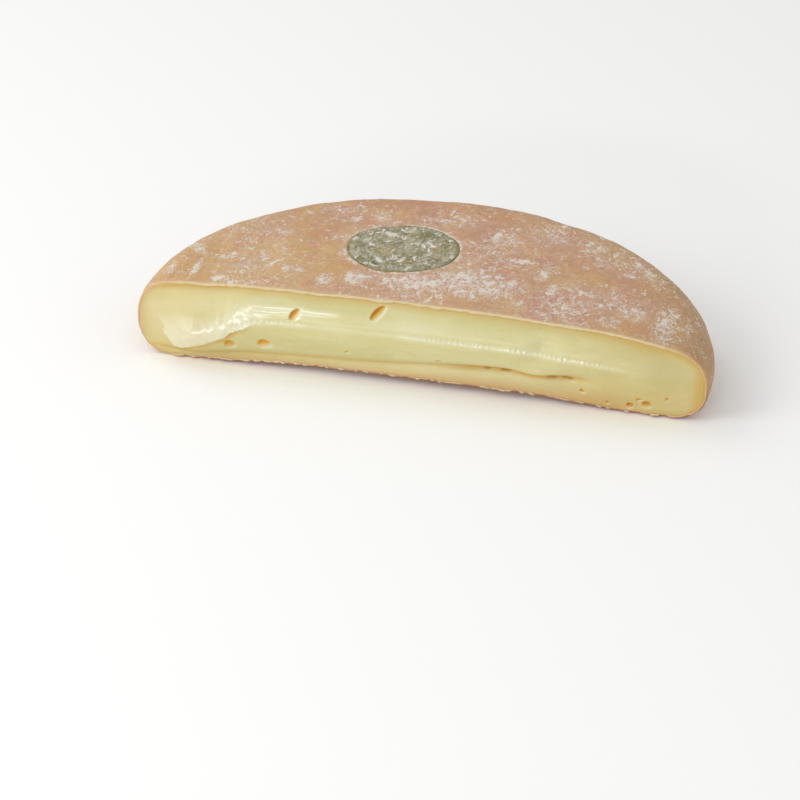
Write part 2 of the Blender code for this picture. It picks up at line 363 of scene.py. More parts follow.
rind = {
    "columns": 370,
    "topRows": 140,
    "sideRows": 34,
    "bottomRows": 40,
    "cutShare": 0.86,          # straight part of the cut's edge, as a share of its length
    "edgeRadius": 0.3,         # the cut's outer edge is rounded by this much
    "thickness": 0.34,         # of the rind where it is cut
    "crumbs": 0.75,            # how far crumbs stand out along the bottom of the cut
    "ragged": 0.45,
    "trayDepth": 2.4,          # the paste is let in this far behind the cut
    "floorHalf": 50.0,         # half the length of the line that the recess's floor closes on
    # rows of the skin this far behind the cut; the others are spread evenly, from 1 mm behind
    # it to the start of the round side
    "nearRows": [0, 0.07, 0.15, 0.25, 0.4, 0.65],
    "flatReach": 66.0,
    # wrinkles of two sizes and shallow dents: height in mm, cell, octaves, seed
    "relief": [(0.06, 3.6, 3, 11), (0.048, 1.5, 2, 17), (0.15, 9, 2, 23)],
    "markBed": 0.6,            # the rind sinks this far under the casein mark
    "markWall": 0.10,          # and swells up round it
    # rings across the cut rind: share of its thickness, share of its bulge
    "cutRings": [(0.2, 0.7), (0.45, 1.0), (0.7, 0.9), (1.0, 0.2)],
    "wallRings": [0.35, 0.7, 1.0],     # shares of the depth of the recess
    "floorRings": [0.33, 0.66, 1.0],   # shares of the way to its middle line
    # density of the white mould between its patches, on the top and the side, and how far
    # noise carries it up and down
    "mouldTop": 0.16,
    "mouldMoreAtRight": 0.14,
    "mouldSide": 0.18,
    "mouldUneven": 0.3,
    # where it is rubbed off less: middle x, y, half the patch's length and width, its turn in
    # degrees and its strength, from broad hazes to single smears
    "mouldPatches": [
        (13, 36, 4.5, 5, 0, 0.75),
        (8, 30, 6, 2, 0, 0.6),
        (-16, 5, 3.5, 3.5, 0, 0.95),
        (-2, 5.5, 10, 4.5, 0, 0.95),
        (11.5, 9, 10, 7, 0, 0.95),
        (19.5, 24.5, 3.5, 1.2, 0, 1.1),
        (26, 19.5, 1.6, 3.5, 0, 1.0),
        (29.5, 11, 1.3, 4.5, 0, 1.0),
        (36.5, 12.7, 4.2, 1.2, -15, 0.9),
        (25, 48, 4, 3.5, 0, 0.6),
        (35.6, 40, 4.5, 3.5, -20, 0.7),
        (49, 32, 8, 2.6, -53, 0.78),
        (46.4, 27, 2.2, 0.9, -10, 1.1),
        (50.3, 6.8, 3, 3.5, 0, 0.9),
        (58.2, 5.8, 2.8, 8.5, 0, 1.0),
        (63.6, 6.5, 1.2, 4.5, 0, 0.8),
        (45, 0.5, 2.5, 3, 0, 0.7),
        (-60, 15.4, 1.6, 4.2, 30, 0.95),
        (-63, 2.2, 1.3, 3.6, 0, 0.85),
        (-56.7, 3.8, 0.8, 4.6, 0, 1.1),
        (-51, 11, 3, 2, 35, 0.85),
        (-49, -2, 2, 1.6, 0, 0.95),
        (-46.7, 5.2, 2.2, 1.6, 20, 0.85),
        (-43.7, -3.2, 3.6, 1, 10, 0.9),
        (-34.8, 5.7, 1.2, 2.1, 0, 1.0),
        (-24.4, 2.4, 1.8, 3.1, 0, 1.0),
        (-19.2, 5.3, 0.9, 2.4, 0, 1.2),
        (-25.5, 38.7, 1.4, 1.8, 0, 1.0),
        (-19, 41, 1.9, 1.6, 0, 1.0),
        (-6, 44, 5, 1.6, 0, 0.8),
    ],
}


def mouldDensity(x, y, up):
    # the strongest of the patches over a faint uneven layer; the side has its own layer
    density = rind["mouldTop"] + rind["mouldMoreAtRight"] * smoothStep(-30, 40, x)
    density += rind["mouldUneven"] * fractalNoise(x, y, 0, 11, 2, 41)
    density = np.maximum(density, patchStrength(x, y, rind["mouldPatches"]))
    aside = rind["mouldSide"] + rind["mouldUneven"] * fractalNoise(x, y, 3 * up, 16, 2, 47)
    return np.clip(aside + (density - aside) * smoothStep(0.5, 0.8, up), 0, 1.2)


def ripeness(x, y):
    # pink where the rind is ripest: slow noise, more in front at the right, little at the left
    slow = 0.5 + 0.6 * fractalNoise(x, y, 0, 15, 3, 43)
    slow = slow + 0.25 * smoothStep(35, 58, x) - 0.45 * smoothStep(-8, -50, x)
    return np.clip(slow + 0.4 * bell(x, 38, 14) * bell(y, 4, 10), 0, 1)


def rindRing(rho, tau):
    # where a ring of this radius stands at tau, running from the cut's right end to its left
    yCut = wheel["knifeOffset"] * wheel["halfLength"] / wheel["depth"]
    a = np.arcsin(yCut / rho)
    angle = -a + tau * (math.pi + 2 * a)
    return rho * np.cos(angle), rho * np.sin(angle)


def rindSkin():
    # over the flats each point slides straight from the cut to the rim, and round the
    # side it follows a superellipse; grid of rows (top to bottom) by columns (right to left)
    flat = wheel["halfLength"] - wheel["sideDepth"]
    yCut = -wheel["knifeOffset"] * wheel["halfLength"] / wheel["depth"]
    tau = np.linspace(0, 1, rind["columns"] + 1)[None, :]
    straight = rind["cutShare"] * flat * (1 - 2 * tau)
    rimX, rimY = rindRing(flat, tau)
    near = np.array(rind["nearRows"]) / rind["flatReach"]
    first = 1 / rind["flatReach"]
    topShare = np.concatenate([near, np.linspace(first, 1, rind["topRows"])])[:, None]
    lowShare = np.concatenate([near, np.linspace(first, 1, rind["bottomRows"])])[::-1, None]
    bend = np.linspace(math.pi / 2, -math.pi / 2, rind["sideRows"] + 1)[1:-1, None]
    power = 2 / wheel["sideRoundness"]
    sideX, sideY = rindRing(flat + wheel["sideDepth"] * np.cos(bend) ** power, tau)
    x = np.concatenate([(1 - topShare) * straight + topShare * rimX, sideX,
                        (1 - lowShare) * straight + lowShare * rimX])
    y = np.concatenate([(1 - topShare) * yCut + topShare * rimY, sideY,
                        (1 - lowShare) * yCut + lowShare * rimY])
    sideLevel = np.sign(np.sin(bend)) * np.abs(np.sin(bend)) ** power
    level = np.concatenate([np.ones_like(topShare), sideLevel, -np.ones_like(lowShare)])
    return settled(x, y, level + 0 * x)


def gridNormals(points):
    # the cross product of a grid's two directions, pointing out of the cheese; each corner
    # takes the normal of the point diagonally inside it
    normal = np.cross(np.gradient(points, axis=0), np.gradient(points, axis=1))
    normal /= np.maximum(np.linalg.norm(normal, axis=-1, keepdims=True), 1e-12)
    for r, c in ((0, 0), (0, -1), (-1, 0), (-1, -1)):
        normal[r, c] = normal[r + (1 if r == 0 else -1), c + (1 if c == 0 else -1)]
    if normal[len(normal) // 4, normal.shape[1] // 2, 2] < 0:
        normal = -normal
    return normal


def rindRelief(x, y, z, up, fromCut, fromMark):
    # wrinkles and shallow dents, faint near the cut and flattened where the cheese stands;
    # a bed under the mark with a low wall round it; the cut's edge rounded off in a quarter
    # circle of uneven radius
    relief = layeredNoise(x, y, z, rind["relief"]) * smoothStep(-0.4, 1.2, fromCut)
    standing = np.minimum(relief, 0.02 * smoothStep(0, 3, z)) * smoothStep(-0.99, -0.4, up)
    relief = np.where(up < 0, standing, relief)
    onTop = smoothStep(0.6, 0.95, up)
    relief -= rind["markBed"] * (1 - smoothStep(-0.9, -0.1, fromMark)) * onTop
    relief += rind["markWall"] * bell(fromMark, 0.5, 0.5) * onTop
    radius = rind["edgeRadius"] * (1 + 0.45 * fractalNoise(x, 0, z, 2.4, 3, 29))
    inside = np.clip(1 - fromCut / radius, 0, 1)
    return relief - radius * (1 - np.sqrt(np.maximum(0, 1 - inside**2)))


def cutRings(edge, floorX):
    # rings across the cut rind, uneven by noise and crumbly along the bottom, then the wall
    # and the floor of the recess that the paste lies in; the floor's upper and lower halves
    # meet on one line half way up, at the same places along the cut
    ahead = np.roll(edge, -2, axis=0) - np.roll(edge, 2, axis=0)
    inward = np.stack([-ahead[:, 2], 0 * ahead[:, 0], ahead[:, 0]], axis=-1)
    inward /= np.linalg.norm(inward, axis=-1, keepdims=True)
    if inward[rind["columns"] // 2, 2] > 0:
        inward = -inward
    # 1 along the bottom edge, where inward points up, but not at the left end
    low = smoothStep(0.4, 0.95, inward[:, 2]) * smoothStep(-64, -58, edge[:, 0])
    yCut = -wheel["knifeOffset"]
    yFloor = yCut + rind["trayDepth"]
    ragged = fractalNoise(edge[:, 0], 0, edge[:, 2], 1.3, 3, 31)
    crumbs = np.clip(fractalNoise(edge[:, 0], 0, edge[:, 2], 0.9, 2, 33) + 0.25, 0, 1)
    slow = latticeNoise(edge[:, 0], 0, edge[:, 2], 6, 37)
    thick = rind["thickness"] * (1 + rind["ragged"] * ragged + 0.25 * slow + 0.7 * low)
    front = yCut - 0.05 * (1 + ragged) * (1 - low) - rind["crumbs"] * (0.35 + crumbs) * low
    rings = []
    for share, forward in rind["cutRings"]:
        ring = edge + inward * (thick * share)[:, None]
        ring[:, 1] = yCut + (front - yCut) * forward
        rings.append(ring)
    rim = rings[-1]
    for share in rind["wallRings"]:
        wall = rim.copy()
        wall[:, 1] += (yFloor - rim[:, 1]) * share
        rings.append(wall)
    corner = rings[-1]
    floorX = np.clip(floorX, -rind["floorHalf"], rind["floorHalf"])
    floorZ = (undersideHeight(floorX, yCut) + topHeight(floorX, yCut)) / 2
    middleLine = np.stack([floorX, np.full_like(floorX, yFloor), floorZ], axis=-1)
    for share in rind["floorRings"]:
        rings.append(corner + (middleLine - corner) * share)
    return np.stack(rings), low


def makeRind():
    smooth = rindSkin()
    normal = gridNormals(smooth)
    x, y, z = (smooth[..., i] for i in range(3))
    up = normal[..., 2]
    fromCut = np.maximum(0, y + wheel["knifeOffset"])
    fromMark = np.hypot(x - mark["centre"][0], y - mark["centre"][1]) - mark["radius"]
    skin = smooth + normal * rindRelief(x, y, z, up, fromCut, fromMark)[..., None]

    # the cut's edge, once round: along the top, down the left end, back, up the right end
    number = np.arange(x.size).reshape(x.shape)
    loop = np.concatenate([number[0, :-1], number[:-1, -1], number[-1, :0:-1], number[:0:-1, 0]])
    edge = skin.reshape(-1, 3)[loop]
    rings, low = cutRings(edge, x.ravel()[loop])
    points = np.concatenate([skin.reshape(-1, 3), rings.reshape(-1, 3)])
    ringNumbers = x.size + np.arange(len(rings) * len(loop)).reshape(len(rings), -1)
    numbers = np.vstack([loop, ringNumbers])
    ringQuads = numbers.ravel()[gridQuads(*numbers.shape, wrapColumns=True)]
    quads = np.concatenate([gridQuads(*x.shape), ringQuads])

    # masks for the looks, each over the skin and over the rings; the rind is browner towards
    # the rim, more so at the right, where it is darkened further as painted shade
    onTop = smoothStep(0.6, 0.95, up)
    under = smoothStep(0.2, -0.5, up)
    rimTanAndShade = smoothStep(0.72, 0.96, np.hypot(x / wheel["halfLength"], y / wheel["depth"]))
    rimTanAndShade *= 0.2 + 0.5 * smoothStep(0, 45, x)
    lip = np.maximum(bell(fromCut, 0, 0.25), 0.3 * bell(fromCut, 0, 1.1))
    lowRings = np.zeros((len(rings), len(loop)))
    lowRings[:2] = np.outer([1.0, 0.65], low)
    masks = {
        "lip": (lip * (1 - under), 1),
        # along the bottom edge of the cut: the rind's reddish underside, darkened into a painted contact
        # shadow
        "underLipAndShadow": (bell(fromCut, 0, 1.5) * under, lowRings),
        "atEnd": (smoothStep(56, 66, np.abs(x)), smoothStep(56, 66, np.abs(edge[:, 0]))),
        "halo": (bell(fromMark, 0.4, 0.9) * onTop, 0),
        "bloom": (mouldDensity(x, y, up) * (1 - 0.35 * rimTanAndShade), 0.1),
        "ripe": (ripeness(x, y), 0.3),
        # where the rind turns down to the side and at the rim: browner and darker, partly the rind's own
        # ochre and partly painted shade
        "side": (np.maximum(1 - smoothStep(0.3, 0.95, up), rimTanAndShade), 0),
    }
    attributes = {key: np.append(overSkin, np.broadcast_to(overRings, ringNumbers.shape))
                  for key, (overSkin, overRings) in masks.items()}
    return meshPiece("washedRind", points, quads, attributes)


# Paste

paste = {
    "inset": 0.22,             # its outline lies this far inside the rind's
    "endInset": 0.9,           # its ends lie this far inside the wheel's half length
    "faceHeight": 21.0,
    "middleColumns": 620,
    "endColumns": 34,
    "bands": [24, 18, 30, 28, 16],   # rows up to the crease, mid face, crest, lip, edge
    "swell": 3.2,
    "lipHeight": 0.92,
    "lipRecess": 0.25,
    "ledge": 0.7,
    "fold": 0.9,
    "lobe": 1.3,
    "valley": 0.7,
    "tearStep": 0.8,           # the torn lobe's lower edge stands over the lower face
    "gathers": 0.15,
    "bevel": 0.28,             # drop of the narrow bevel that runs along the crest
    "leftBevel": 0.22,         # what it drops more at the left
    "ripple": 0.07,            # ripples across the bevel
    "leftRipple": 0.06,
    "rippleLength": 1.25,
    "lump": 0.5,               # the lump at the right that has flowed over the crease
    "rightSwelling": 0.35,
    "ridge": 0.22,
    "striation": 0.025,
    "waviness": 0.06,
    # lines along the face, as shares of its height: at the left, how much the line rises, and
    # the two places in mm between which it does
    "crest": (0.32, 0.28, -56, -34),
    "crease": (0.12, 0.17, -30, 30),
    "creaseAtRight": (0, 0.08, 30, 46),
    "creaseDip": 0.03,         # under the lump
    "tear": (0.15, 0.45, -60, -32.5),
    # middle and width of bell curves: along the face in mm, or up it as a share of its height
    "lobeAt": (-55, 8),
    "lumpAt": (28.5, 4.5),
    "dipAt": (28.5, 4),
    "swellingUp": (0.6, 0.25),
    "ridgeUp": (0.80, 0.035),
    # where the painted sheen and the glare bands lie, painted highlights as well as coat
    "sheenAt": (1, 8),
    "bandLeftAt": (-34, 8),
    "bandLeftUp": (0.77, 0.05),
    "bandRightAt": (-23, 4.5),
    "bandRightUp": (0.79, 0.03),
    # where a form starts, is full, begins to fade and ends, along or up in the same way
    "lobeSpan": (0.06, 0.14, 0.3, 0.75),
    "valleySpan": (0.3, 0.5, 0.75, 0.9),
    "lumpSpan": (0.19, 0.25, 0.3, 0.5),
    "bevelFromCrest": (0, 0.055, 0.08, 0.30),
    "detailSpan": (0, 0.03, 0.97, 1),
    "bevelSpan": (-12, -4, 42, 52),
    "leftBevelSpan": (-46, -42, -30, -24),
    "ridgeSpan": (-43, -38, -22, -15),
    # the band of glints along the crest, painted highlight as well as coat, its gap, and the painted
    # shade under the tear
    "crestBandSpan": (-46, -43, 44, 56),
    "crestGapSpan": (-29, -24, -6, -1),
    "tearSpan": (-62, -58, -46, -38),
    # eyes and pits: place along the cut, height share, width, height, depth, tilt in degrees
    "eyes": [
        (-29.1, 0.733, 3.6, 2.0, 1.1, 46),
        (-9.1, 0.842, 4.4, 1.9, 1.5, 41),
        (-45.5, 0.270, 2.6, 2.6, 0.9, 0),
        (-37.0, 0.298, 3.3, 2.8, 0.9, 5),
        (-16.4, 0.294, 1.0, 0.8, 0.5, 0),
        (6.0, 0.313, 1.5, 0.8, 0.6, 0),
        (17.6, 0.258, 1.9, 0.8, 1.0, -5),
        (21.9, 0.266, 2.8, 1.0, 1.1, -6),
        (33.2, 0.279, 2.8, 0.9, 1.0, -4),
        (36.9, 0.306, 3.2, 0.9, 1.0, -10),
        (40.5, 0.19, 1.3, 0.8, 0.8, -25),
        (46.8, 0.107, 0.9, 0.7, 0.6, 0),
        (52.0, 0.118, 1.7, 1.7, 1.3, -20),
        (56.0, 0.166, 2.4, 1.9, 1.3, -15),
        (54.2, 0.226, 1.5, 0.8, 0.7, 15),
        (60.7, 0.284, 1.0, 1.0, 0.5, 0),
    ],
}


def risingLine(x, left, rise, low, high):
    # a height share that grows in an S-curve between two places
    return left + rise * smoothStep(low, high, x)


def crestHeight(x):
    return risingLine(x, *paste["crest"])


def creaseHeight(x):
    # rises to the right, with a dip where the lump has flowed over it
    height = risingLine(x, *paste["crease"]) + risingLine(x, *paste["creaseAtRight"])
    return height - paste["creaseDip"] * bell(x, *paste["dipAt"])


def pasteRelief(x, v):
    # how far the face stands forward of the knife's plane: a swelling that rises steeply over
    # the crease and fades to the lip, less the crease, the lip's dip and an upright fold,
    # plus the bottom strip and the lobe at the left; as in the solid, but at the right the
    # swelling rises softly from the bottom and the crease runs out, and at the left it is faint
    crest = crestHeight(x)
    crease = creaseHeight(x)
    lip = paste["lipHeight"]
    rise = np.clip(1 - (v - crest) / (lip + 0.03 - crest), 0, 1)
    above = np.sin(math.pi / 2 * rise) ** 1.3
    climb = np.clip((v - crease) / (crest - crease), 0, 1)
    soft = np.maximum(smoothStep(34, 46, x), 0.5 * (1 - smoothStep(-8, 14, x)))
    below = (1 - (1 - climb) ** 3) * (1 - soft) + smoothStep(0, crest, v) * soft
    swell = np.where(v > crest, above, below)
    ends = smoothStep(0, 15, wheel["halfLength"] - np.abs(x) - 1.5)
    forward = paste["swell"] * swell * ends * (1 - 0.25 * bell(v, crease + 0.12, 0.14))
    forward += paste["ledge"] * (1 - smoothStep(0, crease, v)) * ends
    foldDepth = paste["fold"] * (1 - 0.9 * soft) * (1 - smoothStep(48, 60, x))
    forward -= foldDepth * bell(v, crease, 0.045 + 0.05 * soft) * ends
    forward -= paste["lipRecess"] * bell(v, lip, 0.05) * ends
    forward += paste["lobe"] * bell(x, *paste["lobeAt"]) * span(v, *paste["lobeSpan"]) * ends
    forward -= paste["valley"] * bell(x, 24 + 10 * v, 3) * span(v, *paste["valleySpan"])
    return forward


def tornLobe(x, v):
    # the torn lobe's ragged lower edge, which rises to the right until it meets the crest; how
    # far over it a point lies, from 0 under the edge to 1 on the lobe, with its steep left
    # edge; and the same fading out towards the top and right
    tear = risingLine(x, *paste["tear"]) + 0.026 * fractalNoise(x, 0, 0, 3.2, 4, 55)
    left = -60.4 - 7.5 * (v - 0.13) + 0.6 * fractalNoise(0, 0, 20 * v, 2.2, 2, 57)
    over = smoothStep(-0.008, 0.03, v - tear) * smoothStep(-0.2, 0.8, x - left)
    tall = 0.42 + 0.16 * smoothStep(-50, -60, x)
    torn = over * (1 - smoothStep(0.35 * tall, tall, v - tear)) * (1 - smoothStep(-44, -29, x))
    return tear, over, torn


def pasteDetail(x, v):
    # what the knife and the flowing paste add: the torn step with its gathers, the bevel along
    # the crest with its ripples, a lump and a broad swelling at the right, a low ridge at the
    # upper left, and fine cuts along the face
    z = v * paste["faceHeight"]
    crest = crestHeight(x)
    tear, over, torn = tornLobe(x, v)
    step = over * (1 - smoothStep(0.12, 0.5, v - tear)) * (1 - smoothStep(-47, -34, x))
    gathers = fractalNoise(0.87 * x + 0.5 * z, 0, 0.6 * z - 0.35 * x, 2.1, 3, 59)
    detail = paste["tearStep"] * step + paste["gathers"] * torn * gathers
    along = span(x, *paste["bevelSpan"])
    left = span(x, *paste["leftBevelSpan"])
    bevel = paste["bevel"] * (0.35 + 0.65 * along) + paste["leftBevel"] * left
    detail -= bevel * smoothStep(-50, -44, x) * span(v - crest, *paste["bevelFromCrest"])
    wave = np.sin(math.tau * x / paste["rippleLength"] + 3 * latticeNoise(x, 0, z * 0.3, 3, 61))
    ripple = paste["ripple"] * smoothStep(-0.3, 0.5, latticeNoise(x, 0, 0, 3.5, 68)) * along
    ripple += paste["leftRipple"] * left
    detail += ripple * wave * bell(v, crest + 0.03, 0.035)
    right = smoothStep(-3, 3, x - 25.5 - 6.5 * smoothStep(0.3, 0.75, v)) * (1 - smoothStep(45, 62, x))
    detail += paste["rightSwelling"] * right * bell(v, *paste["swellingUp"])
    detail += paste["lump"] * bell(x, *paste["lumpAt"]) * span(v, *paste["lumpSpan"])
    detail += paste["ridge"] * bell(v, *paste["ridgeUp"]) * span(x, *paste["ridgeSpan"])
    cuts = latticeNoise(x / 34, 0, z, 0.5, 63) + 0.7 * latticeNoise(x / 60, 0, z, 1.1, 65)
    detail += paste["striation"] * cuts + paste["waviness"] * fractalNoise(x, 0, z, 8, 2, 67)
    ends = smoothStep(0, 6, wheel["halfLength"] - np.abs(x) - 1.0)
    return detail * ends * span(v, *paste["detailSpan"])


def eyeHollows(x, z):
    # each eye is a bowl: depth times the square root of one less the squared distance from
    # its middle in half-widths, steep at its upper left and running out at its lower right;
    # with it come a painted golden shade of its depth and a painted gleam on the wet lower right rim
    hollow, shade, gleam = 0 * x, 0 * x, 0 * x
    for place, height, width, tall, depth, tilt in paste["eyes"]:
        low = undersideHeight(place, -wheel["knifeOffset"])
        middle = low + (topHeight(place, -wheel["knifeOffset"]) - low) * height
        turn = math.radians(tilt)
        dx = x - place
        dz = z - middle
        along = (dx * math.cos(turn) + dz * math.sin(turn)) / (width / 2)
        across = (dz * math.cos(turn) - dx * math.sin(turn)) / (tall / 2)
        bowl = np.sqrt(np.clip(1 - along**2 - across**2, 0, 1))
        upLeft = across - 0.25 * along
        lean = np.clip(0.55 + 0.85 * upLeft, 0.04, 1.3)
        hollow = np.maximum(hollow, depth * bowl * lean)
        shade = np.maximum(shade, np.clip(2 * bowl, 0, 1) * smoothStep(-0.9, 0.4, upLeft))
        rim = bell(np.hypot(along, across), 1.05, 0.28)
        gleam = np.maximum(gleam, rim * smoothStep(0.35, 0.95, 0.5 * along - across))
    return hollow, shade, gleam


def pasteColumns():
    # places along the cut before settling: even in the middle, then equal angles round the ends
    flat = wheel["halfLength"] - wheel["sideDepth"]
    yCut = wheel["knifeOffset"] * wheel["halfLength"] / wheel["depth"]
    bend = np.linspace(0, math.pi / 2, paste["endColumns"] + 1)
    power = 2 / wheel["sideRoundness"]
    rho = flat + (wheel["sideDepth"] - paste["inset"]) * np.sin(bend) ** power
    level = np.cos(bend) ** power
    level[-1] = 0
    end = np.sqrt(rho**2 - yCut**2)
    middle = np.linspace(-end[0], end[0], paste["middleColumns"] + 1)[1:-1]
    x = np.concatenate([-end[::-1], middle, end])
    return x, np.concatenate([level[::-1], np.ones(len(middle)), level]), -yCut


def pasteMasks(x, v, fromEdge, fromEnd, shade, gleam):
    # where each look shows, from 0 to 1, by the distance in mm from the face's long edges and
    # ends, the shade in the eyes and their gleam; the golden look is painted shade, with the rind's
    # peach at the left end, the deep look is painted shade in the eyes, under the crease and under
    # the torn lobe, and the pale look is the torn lobe's whiter paste with painted highlights and sheen
    tear, _, torn = tornLobe(x, v)
    crest = crestHeight(x)
    crease = creaseHeight(x)
    # glare bands at the upper left and along the crest: coat, and painted highlight in the colour
    glareBandTop = bell(x, *paste["bandLeftAt"]) * bell(v, *paste["bandLeftUp"])
    glareBandTop += 0.7 * bell(x, *paste["bandRightAt"]) * bell(v, *paste["bandRightUp"])
    glareBandCrest = bell(v, crest + 0.015, 0.03) * span(x, *paste["crestBandSpan"])
    glareBandCrest *= 1 - 0.7 * span(x, *paste["crestGapSpan"])
    glints = smoothStep(-0.25, 0.35, latticeNoise(x, 0, 0, 0.8, 83))
    # painted sheen above the crest and in a broad patch over it
    upperSheen = smoothStep(-0.10, 0.10, v - crest) * (1 - smoothStep(0.70, 0.84, v))
    sheen = bell(x, *paste["sheenAt"]) * bell(v, crest + 0.16, 0.08)
    # painted shade: a golden band under the lip and at the ends, where the left end takes the rind's
    # peach, and more golden out towards both ends and at the lower right
    rimShade = (1 - smoothStep(0, 2.8, fromEdge)) * (1 - 0.7 * smoothStep(0.5, 0.3, v))
    endShade = 0.85 * (1 - smoothStep(0, 4.2, fromEnd))
    farOutShade = 0.28 * smoothStep(26, 60, np.abs(x))
    farOutShade += 0.12 * smoothStep(20, 50, x) * smoothStep(0.6, 0.3, v)
    # painted shade under the crease and under the torn lobe's lower edge
    undercutShade = bell(v, crease, 0.032) * (0.3 + 0.5 * smoothStep(4, 16, x)) * (1 - smoothStep(34, 46, x))
    tearShade = bell(v, tear - 0.02, 0.028) * span(x, *paste["tearSpan"])
    tearShade *= 0.75 + 0.5 * latticeNoise(x, 0, 0, 2.5, 81)
    # painted highlights: sheen above the crest, the glare bands and the eyes' gleam; the torn lobe's
    # whiter paste joins them below
    pale = 0.15 * upperSheen + 0.3 * sheen + 0.5 * glareBandCrest + 0.8 * glareBandTop + gleam
    wet = 0.1 * upperSheen + glareBandTop + (0.2 + 0.8 * glints) * glareBandCrest
    masks = {
        "golden": np.maximum(rimShade, endShade) + farOutShade,
        "deep": np.maximum(shade, np.maximum(undercutShade, 0.6 * tearShade)),
        "pale": np.maximum(torn, pale),
        "wet": np.maximum(np.maximum(0.7 * torn, gleam), wet),
        "strip": (1 - smoothStep(0.1, 0.95, v / crease)) * (1 - smoothStep(46, 58, np.abs(x))),
        "atEnd": smoothStep(60, 68, -x),
    }
    return {key: np.clip(value, 0, 1) for key, value in masks.items()}


def makePaste():
    # rows of points along the face, closer together at the crease, the crest and the lip;
    # the limits of their bands are shares of the height inside the paste's own outline
    place, level, yBefore = pasteColumns()
    x = settled(place, yBefore, 1.0 + 0 * place)[:, 0]
    yCut = -wheel["knifeOffset"]
    fullLow = undersideHeight(x, yCut)
    fullHigh = topHeight(x, yCut)
    middle = (fullLow + fullHigh) / 2
    reach = ((fullHigh - fullLow) / 2 - paste["inset"]) * level
    limits = np.stack([0 * x, creaseHeight(x), 0.36 + 0 * x, crestHeight(x) + 0.04,
                       paste["lipHeight"] - 0.06 + 0 * x, 1 + 0 * x])
    limits[2] = np.clip(limits[2], limits[1] + 0.04, limits[3] - 0.03)
    rows = []
    for i, count in enumerate(paste["bands"]):
        share = np.linspace(0, 1, count, endpoint=False)[:, None]
        rows.append(limits[i] + (limits[i + 1] - limits[i]) * share)
    rows.append(limits[-1:])
    z = middle + reach * (2 * np.concatenate(rows) - 1)
    v = (z - fullLow) / (fullHigh - fullLow)
    xs = x + 0 * z
    fromEdge = reach - np.abs(z - middle)
    fromEnd = wheel["halfLength"] - paste["endInset"] - np.abs(xs)
    fromRim = np.maximum(np.minimum(fromEdge, fromEnd), 0)
    hollow, shade, gleam = eyeHollows(xs, z)
    forward = pasteRelief(xs, v) + pasteDetail(xs, v) - hollow
    forward *= 1 - (1 - smoothStep(0, 1, fromRim)) * smoothStep(0.3, 0.1, v)
    y = yCut - forward * np.minimum(1, level / 0.35) + 0.14 * (1 - smoothStep(0, 0.5, fromRim))
    front = np.stack([xs, y, z], axis=-1)

    # under the rind: back along the rim and across the floor of the recess
    depth = rind["trayDepth"] - 0.1
    backShare = np.array([1, 1, 1, 0.7, 0.3, 0, 0, 0])[:, None]
    backDepth = np.array([0.3, 0.7, 1, 1, 1, 1, 0.7, 0.3])[:, None] * depth
    backZ = middle + reach * (2 * backShare - 1)
    back = np.stack(np.broadcast_arrays(x, yCut + backDepth, backZ), axis=-1)
    points = np.concatenate([front, back])
    attributes = {key: np.append(values, np.zeros(backZ.shape))
                  for key, values in pasteMasks(xs, v, fromEdge, fromEnd, shade, gleam).items()}
    return meshPiece("softPaste", points, gridQuads(len(points), len(x), wrapRows=True), attributes)


# Looks

rindLook = {
    "tan": "#c9a16b",
    "pink": "#be8c70",
    # browner colour of the side and rim, partly the rind's own ochre and partly painted shade
    "side": "#b08644",
    # colour, width in mm, stretch along x, y and z, first and full noise level, share
    "patches": [
        ("#cfa86a", 7, (0.9, 1.3, 1), 0.48, 0.64, 0.42),
        ("#c68670", 4, (0.9, 1.3, 1), 0.52, 0.66, 0.5),
        ("#c29a60", 2.4, (0.9, 1.3, 1), 0.52, 0.66, 0.35),
        ("#d9b493", 1.7, (0.9, 1.3, 1), 0.52, 0.64, 0.5),
        ("#b0805a", 1.1, (0.9, 1.3, 1), 0.52, 0.66, 0.4),
        ("#6f5038", 1.2, (1.2, 1, 1), 0.71, 0.75, 0.6),
    ],
    "mould": "#e3ddd3",
    # width in mm, stretch along x, y and z, detail
    "noises": {
        "fleck": (2.0, (0.85, 1.35, 1), 6),
        "vein": (2.6, (1, 1, 1), 3),
        "broken": (4.0, (1, 1, 1), 2),
        "dust": (0.7, (0.9, 1.3, 1), 4),
    },
    "cream": "#d3be97",
    "peach": "#cfa97a",
    # the rind's reddish underside, darkened as a painted contact shadow along the bottom of the cut
    "undersideAndShadow": "#a8624a",
}


